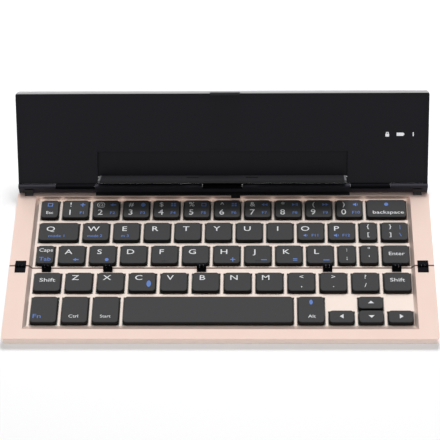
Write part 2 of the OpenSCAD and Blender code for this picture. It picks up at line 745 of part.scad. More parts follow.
// Metal shell of the lid: a bevelled tray with a lip along its free edge
module lid_shell() on_lid("#c2c3c6") {
    difference() {
        intersection() {
            lid_outline();
            bar(lid_w, [[lid_foot, under_n], [lid_foot, back_n + shell_bevel],
                [lid_foot + shell_bevel, back_n], [lid_top - shell_bevel, back_n],
                [lid_top, back_n + shell_bevel], [lid_top, face_n], [lid_top - lip, face_n],
                [lid_top - lip, under_n]]);
            beam(0, far, [[-lid_w / 2, face_n], [-lid_w / 2, back_n + shell_bevel],
                [-lid_w / 2 + shell_bevel, back_n], [lid_w / 2 - shell_bevel, back_n],
                [lid_w / 2, back_n + shell_bevel], [lid_w / 2, face_n]]);
        }
        box([-lid_w / 2 + shell_t, lid_foot + shell_t, floor_n],
            [lid_w / 2 - shell_t, lid_top - lip, under_n + 1]);
        for (x = knuckle_xs) translate([x, 0, 0])
            box([-lid_knuckle_w / 2 - 0.1, 0, under_n - arm_t - 0.1],
                [lid_knuckle_w / 2 + 0.1, lid_foot + shell_t + 0.1, under_n + 1]);
        box([lid_w / 2 - shell_t - 1, port_s - port_w / 2 - 0.1, floor_n + board_t - 0.1],
            [lid_w / 2 + 1, port_s + port_w / 2 + 0.1, floor_n + board_t + port_h + 0.1]);
    }
}

// Black inner face of the lid with the pocket for the flap
module lid_inner_panel() on_lid(black) difference() {
    union() {
        intersection() {
            lid_outline();
            box([-lid_w / 2, lid_foot, under_n], [lid_w / 2, lid_top - lip, face_n]);
        }
        box([-pocket_w / 2 - tray_t, pocket_low - tray_t, pocket_n - tray_t],
            [pocket_w / 2 + tray_t, pocket_high + tray_t, under_n + 0.1]);
    }
    box([-lid_w / 2 + field_rim, 0, field_n], [lid_w / 2 - field_rim, field_top, 5]);
    box([-pocket_w / 2, pocket_low, pocket_n], [pocket_w / 2, pocket_high, 5]);
    box([-notch_w / 2, pocket_high - 1, under_n + 0.3], [notch_w / 2, pocket_high + notch_h, 5]);
    translate([0, flap_s, flap_n]) rod(pocket_w + tray_t, flap_pin_r + 0.02);
    for (i = [0:2]) translate([lens_xs[i], lens_s, 0]) linear_extrude(20, center = true)
        square([lens_ws[i] + 0.1, lens_h + 0.1], center = true);
}

// Knuckles under the inner panel that carry the lid on its pins
module lid_knuckles() on_lid("#3b3c40") for (x = knuckle_xs) translate([x, 0, 0]) difference() {
    union() {
        rod(lid_knuckle_w, lid_knuckle_r);
        bar(lid_knuckle_w, [[-0.4, -lid_knuckle_r * 0.85], [0.9, -0.6], [lid_foot - 0.1, under_n],
            [arm_reach, under_n], [arm_reach, under_n - arm_t], [0.8, under_n - arm_t]]);
    }
    rod(lid_knuckle_w + 1, lid_pin_r + pin_fit);
}

// Battery pouch on the shell's floor
module lid_battery() on_lid("#b8bcc4")
    box([battery_x - battery_len / 2, inside_s, floor_n],
        [battery_x + battery_len / 2, inside_s + inner_h, floor_n + battery_t]);

// Circuit board with its controller and three light sources
module lid_circuit_board() on_lid("#1f6b45") {
    top = floor_n + board_t;
    box([board_x - board_len / 2, inside_s, floor_n], [board_x + board_len / 2, inside_s + inner_h, top]);
    box([board_x - board_len / 2 + chip_w, inside_s + chip_w, top - eps],
        [board_x - board_len / 2 + 2 * chip_w, inside_s + 2 * chip_w, top + chip_h]);
    box([board_x - chip_w / 2, inside_s + 2 * chip_w, top - eps],
        [board_x, inside_s + 2.5 * chip_w, top + 0.8 * chip_h]);
    for (x = lens_xs) box([x - led_w / 2, lens_s - led_w / 2, top - eps],
        [x + led_w / 2, lens_s + led_w / 2, top + led_h]);
}

// Clear light pipes from the board to the lid's face
module indicator_lenses() on_lid("#f4f6f8") for (i = [0:2]) translate([lens_xs[i], lens_s, 0])
    box([-lens_ws[i] / 2, -lens_h / 2, floor_n + board_t + led_h], [lens_ws[i] / 2, lens_h / 2, field_n]);

// Charging socket on the board, flush with the shell's right side
module charging_port() on_lid(steel)
    translate([lid_w / 2 - 0.2, port_s, floor_n + board_t]) {
        difference() {
            box([-port_depth, -port_w / 2, 0], [0, port_w / 2, port_h]);
            box([-port_depth + 0.6, -port_w / 2 + port_wall, port_wall],
                [1, port_w / 2 - port_wall, port_h - port_wall]);
        }
        box([-port_depth + 0.5, -0.32 * port_w, 0.36 * port_h], [-0.8, 0.32 * port_w, 0.6 * port_h]);
    }

// Latch that hooks over the folded stack
module lid_latch() on_lid("#4c4d52") translate([latch_x, lid_top - latch_t / 2, face_n])
    linear_extrude(latch_h) rounded(latch_w, latch_t, 0.6);

module lid_magnets() on_lid(steel) for (x = [-1, 1])
    translate([x * (lid_w / 2 - magnet_in) - magnet_len / 2, lid_top - lip - 0.5 - lid_magnet_w, floor_n])
        cube([magnet_len, lid_magnet_w, magnet_t]);

// Pin that the flap turns on, held in the pocket's side walls
module flap_pin() on_lid(steel) translate([0, flap_s, flap_n]) rod(pocket_w + tray_t - 0.1, flap_pin_r);

// Flap that carries the tablet's lower edge
module stand_flap() on_flap("#3a3b40") difference() {
    union() {
        box([-flap_w / 2, 0, -flap_t / 2], [flap_w / 2, flap_len, flap_t / 2]);
        rod(flap_w, flap_barrel_r);
        for (x = [-1, 1]) translate([x * (flap_w / 2 - 0.6), 0, 0])
            box([-0.6, 1.5, -flap_t / 2 - 0.25], [0.6, flap_len, 0]);
    }
    rod(flap_w + 1, flap_pin_r + pin_fit);
    for (x = [-slot_x, slot_x]) translate([x, slot_up, 0])
        cube([slot_len, slot_w, flap_t + 2], center = true);
}

middle_frame();
middle_bottom_cover();
middle_membrane();
middle_domes();
middle_scissors();
middle_feet();
middle_screws();
hinge_wall();
rear_hinge_brackets();
lid_hinge_pins();
middle_fold_knuckles();
fold_pins();
front_frame();
front_bottom_cover();
front_membrane();
front_domes();
front_scissors();
front_feet();
front_screws();
front_fold_knuckles();
front_magnets();
space_bar_stabiliser();
lid_shell();
lid_inner_panel();
lid_knuckles();
lid_battery();
lid_circuit_board();
indicator_lenses();
charging_port();
lid_latch();
lid_magnets();
flap_pin();
stand_flap();
esc_key();
number_keys_left();
number_keys_right();
backspace_key();
q_key();
upper_keys_left();
upper_keys_right();
bracket_keys();
caps_key();
home_keys_left();
home_keys_right();
quote_keys();
enter_key();
left_shift_key();
lower_keys_left();
lower_keys_right();
right_shift_key();
fn_key();
ctrl_key();
start_key();
space_bar();
alt_key();
left_arrow_key();
up_arrow_key();
down_arrow_key();
right_arrow_key();
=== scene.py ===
import json
import math

import bmesh
import bpy
from mathutils import Matrix, Vector


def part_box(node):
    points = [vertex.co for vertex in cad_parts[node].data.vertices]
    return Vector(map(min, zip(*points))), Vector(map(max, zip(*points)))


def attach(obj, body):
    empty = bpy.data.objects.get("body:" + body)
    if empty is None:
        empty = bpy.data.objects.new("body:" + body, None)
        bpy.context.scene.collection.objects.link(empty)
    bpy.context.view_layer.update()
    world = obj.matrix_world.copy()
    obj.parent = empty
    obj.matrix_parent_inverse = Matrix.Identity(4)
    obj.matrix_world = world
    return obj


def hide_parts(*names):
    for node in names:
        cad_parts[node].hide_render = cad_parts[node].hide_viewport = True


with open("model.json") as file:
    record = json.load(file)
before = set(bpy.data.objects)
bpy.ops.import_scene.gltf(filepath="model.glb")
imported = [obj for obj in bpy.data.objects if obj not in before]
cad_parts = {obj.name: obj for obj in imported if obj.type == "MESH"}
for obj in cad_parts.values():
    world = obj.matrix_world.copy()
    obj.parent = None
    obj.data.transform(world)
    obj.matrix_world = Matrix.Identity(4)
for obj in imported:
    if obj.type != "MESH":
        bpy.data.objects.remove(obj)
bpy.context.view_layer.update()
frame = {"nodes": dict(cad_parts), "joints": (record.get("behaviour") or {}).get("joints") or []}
nodes = frame["nodes"]
joints = {joint["name"]: joint for joint in frame["joints"]}
mm = 0.001

# The camera stands where the photograph was taken: in front of the keyboard and above it,
# a metre away with a long lens, turned a little to its left.
fold_y = joints["front_panel_fold"]["pos_m"][1]
lens = bpy.data.cameras.new("photo_camera")
lens.lens, lens.sensor_width, lens.clip_start = 134.28, 36, 0.05
camera = bpy.data.objects.new("photo_camera", lens)
bpy.context.scene.collection.objects.link(camera)
right = Vector((0.999555, 0.017226, -0.024355))
upward = Vector((0.001405, 0.788343, 0.615235))
backward = Vector((0.029799, -0.614995, 0.787968))
turn = Matrix((right, upward, backward)).transposed()
beside, before_fold, above = 0.0283114, 0.5748334, 0.7853738
stand = Matrix.Translation((beside, fold_y - before_fold, above))
camera.matrix_world = stand @ turn.to_4x4()
bpy.context.scene.camera = camera

# A plain white paper floor under the keyboard, with a soft grey world and broad lamps
# above and behind, as in a product studio.


class Value:
    """One output socket of a material's node."""

    def __init__(self, finish, socket):
        self.finish, self.socket = finish, socket

    def distance(self, other):
        gap = self.finish.add("ShaderNodeMath", {"operation": "SUBTRACT"}, {0: self, 1: other})
        return self.finish.add("ShaderNodeMath", {"operation": "ABSOLUTE"}, {0: gap})


class Finish:
    """A material, with the values that are the same all over it set on the shader's own sockets."""

    def __init__(self, name, **values):
        self.material = bpy.data.materials.new(name)
        self.material.use_nodes = True
        self.tree = self.material.node_tree
        self.shader = self.tree.nodes["Principled BSDF"]
        for socket, value in values.items():
            self.shader.inputs[socket.replace("_", " ")].default_value = value

    def add(self, kind, settings=None, sockets=None, out=0):
        node = self.tree.nodes.new(kind)
        for name, value in (settings or {}).items():
            setattr(node, name, value)
        for name, value in (sockets or {}).items():
            if isinstance(value, Value):
                self.tree.links.new(value.socket, node.inputs[name])
            else:
                node.inputs[name].default_value = value
        return Value(self, node.outputs[out])

    def feed(self, socket, value):
        self.tree.links.new(value.socket, self.shader.inputs[socket])

    def place(self):
        return self.add("ShaderNodeTexCoord", out=3)

    def along(self, axis):
        return self.add("ShaderNodeSeparateXYZ", {}, {0: self.place()}, out="XYZ".index(axis))

    def noise(self, scale, detail):
        sockets = {"Vector": self.place(), "Scale": scale, "Detail": detail}
        return self.add("ShaderNodeTexNoise", {}, sockets)

    def between(self, value, low, high, to_low, to_high):
        sockets = {0: value, 1: low, 2: high, 3: to_low, 4: to_high}
        return self.add("ShaderNodeMapRange", {}, sockets)

    def mix(self, amount, first, second):
        sockets = {0: amount, 6: first, 7: second}
        return self.add("ShaderNodeMix", {"data_type": "RGBA"}, sockets, out=2)

    def tint(self, amount, first, second):
        return self.mix(amount, (*first, 1), (*second, 1))

    def mottle(self, scale, detail, first, second):
        """Cloud the base colour between two tones and hand back the clouds."""
        cloud = self.noise(scale, detail)
        self.feed("Base Color", self.tint(cloud, first, second))
        return cloud

    def roughen(self, cloud, smoothest, roughest):
        self.feed("Roughness", self.between(cloud, 0.3, 0.7, smoothest, roughest))

    def relief(self, height, depth, rounding=0.0):
        sockets = {"Height": height, "Distance": depth, "Strength": 1.0}
        if rounding:
            edge = self.add("ShaderNodeBevel", {"samples": 6}, {"Radius": rounding})
            sockets["Normal"] = edge
        self.feed("Normal", self.add("ShaderNodeBump", {}, sockets))


floor_mesh = bpy.data.meshes.new("paper_floor")
floor_mesh.from_pydata([(-6, -6, 0), (6, -6, 0), (6, 6, 0), (-6, 6, 0)], [], [(0, 1, 2, 3)])
floor = bpy.data.objects.new("paper_floor", floor_mesh)
bpy.context.scene.collection.objects.link(floor)
floor.location.z = -0.0002
paper = Finish("white_paper", Base_Color=(0.82, 0.82, 0.83, 1), Roughness=0.9,
               Specular_IOR_Level=0.0, Emission_Color=(1, 1, 1, 1), Emission_Strength=0.30)
floor_mesh.materials.append(paper.material)

world = bpy.data.worlds.new("studio")
world.use_nodes = True
bpy.context.scene.world = world
links, parts = world.node_tree.links, world.node_tree.nodes
sky = parts["Background"]
sky.inputs["Color"].default_value = (1, 1, 1, 1)
direction = parts.new("ShaderNodeTexCoord")
split = parts.new("ShaderNodeSeparateXYZ")
links.new(direction.outputs["Generated"], split.inputs[0])
rear_share = 0.55
tilt = parts.new("ShaderNodeMath")
tilt.operation = "MULTIPLY_ADD"
links.new(split.outputs["Y"], tilt.inputs[0])
tilt.inputs[1].default_value = rear_share
links.new(split.outputs["Z"], tilt.inputs[2])
glow = parts.new("ShaderNodeMapRange")
glow.interpolation_type = "SMOOTHSTEP"
links.new(tilt.outputs[0], glow.inputs["Value"])
for name, value in (("From Min", -0.15), ("From Max", 0.75), ("To Min", 0.08), ("To Max", 0.24)):
    glow.inputs[name].default_value = value
ray = parts.new("ShaderNodeLightPath")
seen = ray.outputs["Is Camera Ray"]
for kind in ("Is Glossy Ray", "Is Transmission Ray"):
    either = parts.new("ShaderNodeMath")
    either.operation = "MAXIMUM"
    links.new(seen, either.inputs[0])
    links.new(ray.outputs[kind], either.inputs[1])
    seen = either.outputs[0]
shown = parts.new("ShaderNodeMix")
links.new(seen, shown.inputs[0])
links.new(glow.outputs["Result"], shown.inputs[2])
shown.inputs[3].default_value = 1.0
links.new(shown.outputs[0], sky.inputs["Strength"])

for name, place, size, power in (
    ("rear_softbox", (0.1, 0.8, 1.1), 0.4, 16.5),
    ("ceiling_softbox", (-0.1, 0.1, 1.4), 1.2, 1.0),
):
    lamp = bpy.data.lights.new(name, "AREA")
    lamp.shape, lamp.size, lamp.energy = "SQUARE", size, power
    holder = bpy.data.objects.new(name, lamp)
    bpy.context.scene.collection.objects.link(holder)
    holder.location = place
    holder.visible_glossy = False
    holder.rotation_mode = "QUATERNION"
    holder.rotation_quaternion = Vector(place).to_track_quat("Z", "Y")
bpy.context.scene.view_settings.view_transform = "Standard"

# Two pressed and milled aluminium frames, one to a key panel, bead-blasted and anodised
# in a pale rose. Each is rim, sloping key well and key plate in one. The well is painted
# paler than the rim as painted light on the deck shaded by the keys, and the faces that
# meet at the fold are painted brown as painted shade of the gap between them.


def dress(node, finish):
    mesh = nodes[node].data
    mesh.materials.clear()
    mesh.materials.append(finish.material)


def anodised(name, roughness, rounding, metallic=1.0):
    finish = Finish(name, Metallic=metallic)
    cloud = finish.noise(60, 3)
    finish.roughen(cloud, roughness - 0.02, roughness + 0.03)
    finish.relief(finish.noise(5200, 1), 0.000008, rounding)
    return finish, cloud


rose, rose_cloud = anodised("rose_anodised", 0.42, 0.00022, 0.75)
rim_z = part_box("middle_frame")[1].z
well_below_rim, rim_edge = 0.0024, 0.0004
gap_shade_half, gap_shade_end = 0.0004, 0.00065
on_rim = rose.between(rose.along("Z"), rim_z - well_below_rim, rim_z - rim_edge, 0, 1)
off_painted_gap_shade = rose.between(rose.along("Y").distance(fold_y), gap_shade_half, gap_shade_end, 0, 1)
# The well's paler tone is painted light that brightens the deck shaded by the keys.
painted_light_well_tone = rose.tint(rose_cloud, (1.0, 0.87, 0.79), (1.0, 0.85, 0.77))
rim_tone = rose.tint(rose_cloud, (0.97, 0.765, 0.68), (0.95, 0.73, 0.645))
# The brown along the fold is painted shade standing in for the gap between the two frames.
painted_gap_shade_tone = (0.3, 0.19, 0.15, 1)
rose.feed("Base Color", rose.mix(off_painted_gap_shade, painted_gap_shade_tone, rose.mix(on_rim, painted_light_well_tone, rim_tone)))
for node in ("middle_frame", "front_frame"):
    dress(node, rose)

# The two bottom covers are moulded in matte rose plastic, a shade darker than the frames,
# and lie between the frames' walls.
cover_plastic = Finish("rose_plastic", Roughness=0.55)
grain = cover_plastic.mottle(2600, 2, (0.62, 0.43, 0.36), (0.56, 0.38, 0.32))
cover_plastic.relief(grain, 0.00002, 0.0001)
for node in ("middle_bottom_cover", "front_bottom_cover"):
    dress(node, cover_plastic)

# Under the keys lie a printed switch film, a silicone dome and a folded nylon link for
# each key, and a bent wire that keeps the space bar level.
film = Finish("switch_film", Roughness=0.3)
bands = {"Vector": film.place(), "Scale": 900.0}
tracks = film.add("ShaderNodeTexWave", {"wave_type": "BANDS"}, bands)
printed = film.between(tracks, 0.6, 0.7, 0, 1)
film.feed("Base Color", film.tint(printed, (0.55, 0.57, 0.52), (0.35, 0.36, 0.36)))
silicone = Finish("dome_silicone", Roughness=0.5)
silicone.mottle(900, 2, (0.74, 0.72, 0.67), (0.66, 0.64, 0.6))
nylon = Finish("white_nylon", Roughness=0.45)
nylon.mottle(1500, 2, (0.82, 0.82, 0.8), (0.74, 0.74, 0.72))
steel = Finish("bright_steel", Metallic=1.0)
scratches = steel.mottle(1800, 4, (0.62, 0.62, 0.63), (0.5, 0.5, 0.52))
steel.roughen(scratches, 0.22, 0.36)
for node, finish in (
    ("middle_membrane", film),
    ("front_membrane", film),
    ("middle_domes", silicone),
    ("front_domes", silicone),
    ("middle_scissors", nylon),
    ("front_scissors", nylon),
    ("space_bar_stabiliser", steel),
):
    dress(node, finish)

# Eight dark rubber feet, four to a panel, are glued into shallow recesses of the covers.
# Their skin is finely pored.
rubber = Finish("foot_rubber", Roughness=0.8)
pores = rubber.mottle(3000, 3, (0.035, 0.035, 0.037), (0.06, 0.06, 0.062))
rubber.relief(pores, 0.00003)
for node in ("middle_feet", "front_feet"):
    dress(node, rubber)

# Small pan-head screws with a cross recess hold each cover to the bosses in its frame.
# One head is shaped once and set at each boss.
head_r, head_h, shank_r, shank_h = 0.0013, 0.00045, 0.0006, 0.0028
slot_l, slot_w, slot_d = 0.0015, 0.00034, 0.0005


def screw_tree():
    tree = bpy.data.node_groups.new("cover_screws", "GeometryNodeTree")
    sides = tree.interface
    sides.new_socket("Geometry", in_out="INPUT", socket_type="NodeSocketGeometry")
    for name in ("Head radius", "Head height", "Shank radius", "Shank height"):
        sides.new_socket(name, in_out="INPUT", socket_type="NodeSocketFloat")
    sides.new_socket("Finish", in_out="INPUT", socket_type="NodeSocketMaterial")
    sides.new_socket("Geometry", in_out="OUTPUT", socket_type="NodeSocketGeometry")
    make, join = tree.nodes.new, tree.links.new
    given, result = make("NodeGroupInput"), make("NodeGroupOutput")

    def cylinder(section):
        radius, height = given.outputs[section + " radius"], given.outputs[section + " height"]
        shape = make("GeometryNodeMeshCylinder")
        shape.inputs["Vertices"].default_value = 24
        join(radius, shape.inputs["Radius"])
        join(height, shape.inputs["Depth"])
        half = make("ShaderNodeMath")
        half.operation = "MULTIPLY"
        join(height, half.inputs[0])
        half.inputs[1].default_value = 0.5
        up = make("ShaderNodeCombineXYZ")
        join(half.outputs[0], up.inputs["Z"])
        moved = make("GeometryNodeTransform")
        join(shape.outputs["Mesh"], moved.inputs["Geometry"])
        join(up.outputs[0], moved.inputs["Translation"])
        return moved.outputs["Geometry"]

    head, shank = cylinder("Head"), cylinder("Shank")
    cut = make("GeometryNodeMeshBoolean")
    cut.operation = "DIFFERENCE"
    join(head, cut.inputs["Mesh 1"])
    for size in ((slot_l, slot_w, slot_d), (slot_w, slot_l, slot_d)):
        slot = make("GeometryNodeMeshCube")
        slot.inputs["Size"].default_value = size
        join(slot.outputs["Mesh"], cut.inputs["Mesh 2"])
    both = make("GeometryNodeJoinGeometry")
    join(cut.outputs["Mesh"], both.inputs[0])
    join(shank, both.inputs[0])
    spread = make("GeometryNodeInstanceOnPoints")
    join(given.outputs["Geometry"], spread.inputs["Points"])
    join(both.outputs[0], spread.inputs["Instance"])
    real = make("GeometryNodeRealizeInstances")
    join(spread.outputs[0], real.inputs[0])
    paint = make("GeometryNodeSetMaterial")
    join(real.outputs[0], paint.inputs["Geometry"])
    join(given.outputs["Finish"], paint.inputs["Material"])
    join(paint.outputs[0], result.inputs[0])
    return tree


def new_piece(name, mesh):
    piece = bpy.data.objects.new(name, mesh)
    bpy.context.scene.collection.objects.link(piece)
    return piece


def bake_nodes(name, points, tree, values):
    seed = bpy.data.meshes.new(name + "_points")
    seed.from_pydata(points, [], [])
    piece = new_piece(name + "_seed", seed)
    modifier = piece.modifiers.new("nodes", "NODES")
    modifier.node_group = tree
    for item in tree.interface.items_tree:
        if item.in_out == "INPUT" and item.name in values:
            modifier[item.identifier] = values[item.name]
    depsgraph = bpy.context.evaluated_depsgraph_get()
    mesh = bpy.data.meshes.new_from_object(piece.evaluated_get(depsgraph))
    bpy.data.objects.remove(piece)
    mesh.name = name
    return new_piece(name, mesh)


screws = screw_tree()
screw_sizes = {
    "Head radius": head_r,
    "Head height": head_h,
    "Shank radius": shank_r,
    "Shank height": shank_h,
    "Finish": steel.material,
}
beyond_screws, row_shift = 0.006, 0.001
for panel in ("middle", "front"):
    low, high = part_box(panel + "_screws")
    ends = (low.y + head_r, high.y - head_r)
    away = 1 if panel == "middle" else -1
    depth = max(abs(end - fold_y) for end in ends) + beyond_screws
    rows = (*ends, fold_y + away * (depth / 2 + row_shift))
    bosses = [(side * (high.x - head_r), y, low.z) for side in (-1, 1) for y in rows]
    piece = bake_nodes(panel + "_cover_screws", bosses, screws, screw_sizes)
    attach(piece, panel + "_panel")
    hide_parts(panel + "_screws")

# The key caps are moulded shells of charcoal plastic with a fine matte grain, drawn in
# a little towards a flat top, with a rounded shoulder all round.
cap_plastic = Finish("key_plastic", Specular_IOR_Level=0.42)
speckle = cap_plastic.mottle(4200, 2, (0.038, 0.038, 0.040), (0.046, 0.046, 0.048))
cap_plastic.roughen(speckle, 0.46, 0.54)
cap_plastic.relief(speckle, 0.000006)
# The caps' lower sides and hollow are coloured near-black as painted shade for the gaps between the
# keys.
cap_sides_painted_shade = Finish("key_sides_painted_shade", Specular_IOR_Level=0.15)
cap_sides_painted_shade.mottle(4200, 2, (0.006, 0.0055, 0.005), (0.010, 0.009, 0.008))
cap_sides_painted_shade.roughen(cap_sides_painted_shade.noise(900, 2), 0.45, 0.6)
TOP, SIDES = 0, 1
side_levels = 4
cap_wall, cap_corner, hollow_corner, corner_draw = 0.0008, 0.0021, 0.0007, 0.4
hollow_slope, hollow_top = 0.0003, 0.0022
cap_rings = (
    (0.0, 0.0),
    (0.00012, 0.0009),
    (0.0003, 0.0018),
    (0.00045, 0.0022),
    (0.00058, 0.00238),
    (0.00078, 0.0025),
    (0.00105, 0.00257),
    (0.0014, 0.0026),
    (0.0022, 0.0026),
)


def rounded_ring(bm, x, y, width, depth, radius, z, steps=6):
    ring = []
    for corner, (sx, sy) in enumerate(((1, 1), (-1, 1), (-1, -1), (1, -1))):
        for step in range(steps + 1):
            angle = math.pi / 2 * (corner + step / steps)
            px = x + sx * (width / 2 - radius) + radius * math.cos(angle)
            py = y + sy * (depth / 2 - radius) + radius * math.sin(angle)
            ring.append(bm.verts.new((px, py, z)))
    return ring


def skin(bm, first, second, slot=0):
    for i in range(len(first)):
        k = (i + 1) % len(first)
        face = bm.faces.new((first[i], first[k], second[k], second[i]))
        face.material_index = slot


def key_cap(bm, x, y, width, depth, low, high):
    def ring(inset, radius, z):
        return rounded_ring(bm, x, y, width - 2 * inset, depth - 2 * inset, radius, z)

    grow = (high - low) / cap_rings[-1][1]
    rings = []
    for inset, rise in cap_rings:
        rings.append(ring(inset, cap_corner - inset * corner_draw, low + rise * grow))
    roof = high - cap_wall
    hollow = ((hollow_top, roof), (cap_wall + hollow_slope, roof), (cap_wall, low))
    inner = [ring(inset, hollow_corner, z) for inset, z in hollow]
    for level, (first, second) in enumerate(zip(rings, rings[1:])):
        skin(bm, first, second, SIDES if level < side_levels else TOP)
    bm.faces.new(rings[-1])
    bm.faces.new(list(reversed(inner[0]))).material_index = SIDES
    for first, second in zip(inner, inner[1:]):
        skin(bm, first, second, SIDES)
    skin(bm, inner[-1], rings[0], SIDES)


# How many caps the nodes hold that stand for more than one key.
cap_counts = {
    "number_keys_left": 5,
    "number_keys_right": 5,
    "upper_keys_left": 4,
    "upper_keys_right": 5,
    "home_keys_left": 5,
    "home_keys_right": 4,
    "lower_keys_left": 5,
    "lower_keys_right": 5,
    "bracket_keys": 2,
    "quote_keys": 2,
}
key_nodes = sorted(n for n in nodes if n.endswith("_key") or "_keys" in n or n == "space_bar")
letter_w = (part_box("enter_key")[1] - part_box("enter_key")[0]).x
narrow_w = (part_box("esc_key")[1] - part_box("esc_key")[0]).x


def cap_places(node):
    low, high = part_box(node)
    count = cap_counts.get(node, 1)
    if node == "bracket_keys":
        widths = [narrow_w, letter_w]
    elif node == "quote_keys":
        widths = [narrow_w, narrow_w]
    elif count == 1:
        widths = [high.x - low.x]
    else:
        widths = [letter_w] * count
    gap = (high.x - low.x - sum(widths)) / max(count - 1, 1)
    middle, depth = (low.y + high.y) / 2, high.y - low.y
    places, left = [], low.x
    for width in widths:
        places.append((left + width / 2, middle, width, depth, low.z, high.z))
        left += width + gap
    return places


def mesh_piece(name, bm, finishes, smooth=True):
    mesh = bpy.data.meshes.new(name)
    bm.to_mesh(mesh)
    bm.free()
    for finish in finishes:
        mesh.materials.append(finish.material)
    for face in mesh.polygons:
        face.use_smooth = smooth
    return new_piece(name, mesh)


for node in key_nodes:
    bm = bmesh.new()
    for x, y, width, depth, low, high in cap_places(node):
        key_cap(bm, x, y, width, depth, low, high)
    piece = mesh_piece(node + "_caps", bm, [cap_plastic, cap_sides_painted_shade])
    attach(piece, node)
    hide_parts(node)

# The legends are printed on the caps: plain letters, figures and key names in white,
# and the second functions in blue. Each print is a thin layer of ink on the cap's top.
ink_t, ink_spread = 0.00002, 0.000005
white_ink = Finish("white_ink", Roughness=0.5)
white_ink.mottle(2500, 2, (0.86, 0.87, 0.88), (0.72, 0.73, 0.75))
blue_ink = Finish("blue_ink", Roughness=0.5)
blue_ink.mottle(2500, 2, (0.15, 0.27, 0.66), (0.12, 0.22, 0.56))
WHITE, BLUE = 0, 1


def bar(x0, y0, x1, y1):
    return [(x0, y0), (x1, y0), (x1, y1), (x0, y1)]


def disc(radius, sides=20):
    angles = [2 * math.pi * i / sides for i in range(sides)]
    return [(radius * math.cos(angle), radius * math.sin(angle)) for angle in angles]


SIGNS = {
    "up": [[(-1.5, -0.6), (1.5, -0.6), (0, 0.9)]],
    "down": [[(-1.5, 0.6), (0, -0.9), (1.5, 0.6)]],
    "left": [[(0.7, -1.3), (0.7, 1.3), (-1.1, 0)]],
    "right": [[(-0.7, -1.3), (1.1, 0), (-0.7, 1.3)]],
    "dot": [disc(1.25)],
    "badge": [[(x * 1.2, y * 2.1) for x, y in disc(1.1)]],
    "frame": [
        bar(-1.3, -1.1, 1.3, -0.7),
        bar(-1.3, 0.7, 1.3, 1.1),
        bar(-1.3, -0.7, -0.9, 0.7),
        bar(0.9, -0.7, 1.3, 0.7),
    ],
    "back": [[(-1.6, 0), (0.1, -1), (0.1, 1)], bar(0.1, -0.35, 1.6, 0.35)],
    "rewind": [[(-1.7, 0), (-0.1, -0.9), (-0.1, 0.9)], [(0, 0), (1.6, -0.9), (1.6, 0.9)]],
    "play": [
        [(-1.5, -0.9), (0.1, 0), (-1.5, 0.9)],
        bar(0.4, -0.9, 0.8, 0.9),
        bar(1.1, -0.9, 1.5, 0.9),
    ],
    "forward": [[(-1.6, -0.9), (0, 0), (-1.6, 0.9)], [(0.1, -0.9), (1.7, 0), (0.1, 0.9)]],
    "speaker": [
        bar(-1.5, -0.5, -0.8, 0.5),
        [(-0.8, -0.5), (0.2, -1.2), (0.2, 1.2), (-0.8, 0.5)],
        bar(0.7, -0.6, 1.0, 0.6),
    ],
    "ring": [
        bar(-1.3, -0.25, 1.3, 0.25),
        bar(-0.25, -1.2, 0.25, -0.25),
        bar(-0.25, 0.25, 0.25, 1.2),
    ],
    "dash": [bar(-1.3, -0.22, 1.3, 0.22)],
    "equals": [bar(-1.2, -0.75, 1.2, -0.25), bar(-1.2, 0.25, 1.2, 0.75)],
    "grid": [
        bar(-1.3, -1.1, -0.2, -0.15),
        bar(0.2, -1.1, 1.3, -0.15),
        bar(-1.3, 0.15, -0.2, 1.1),
        bar(0.2, 0.15, 1.3, 1.1),
    ],
}


def print_sign(bm, sign, x, y, z, size, ink):
    for outline in SIGNS[sign]:
        ring = [bm.verts.new((x + px * size * mm, y + py * size * mm, z)) for px, py in outline]
        bm.faces.new(ring).material_index = ink


def print_text(bm, text, x, y, z, size, ink, stretch):
    curve = bpy.data.curves.new("legend", "FONT")
    curve.body, curve.size = text, size * mm
    curve.align_x, curve.align_y = "CENTER", "CENTER"
    curve.resolution_u = 3
    curve.offset = size * ink_spread
    holder = new_piece("legend", curve)
    depsgraph = bpy.context.evaluated_depsgraph_get()
    mesh = bpy.data.meshes.new_from_object(holder.evaluated_get(depsgraph))
    bpy.data.objects.remove(holder)
    mesh.transform(Matrix.Translation((x, y, z)) @ Matrix.Diagonal((stretch, 1, 1, 1)))
    before = len(bm.faces)
    bm.from_mesh(mesh)
    bm.faces.ensure_lookup_table()
    for face in bm.faces[before:]:
        face.material_index = ink
        if face.normal.z < 0:
            face.normal_flip()
    bpy.data.meshes.remove(mesh)


def letter(sign, x=-2.0, y=1.6, extra=()):
    return [(sign, x, y, 4.9, WHITE, 1.38), *extra]


def figure(upper, lower, second, sign):
    return [
        (upper, -3.2, 3.0, 4.6, WHITE, 1.15),
        (lower, -3.4, -3.0, 5.7, WHITE, 1.15),
        (second, 4.0, -3.3, 2.9, BLUE, 1.15),
        (sign, 4.1, 2.9, 1.15, BLUE, 0),
    ]


def pair(upper, lower, x=0.0):
    return [(upper, x, 3.2, 3.9, WHITE, 1.2), (lower, x, -2.8, 3.9, WHITE, 1.2)]


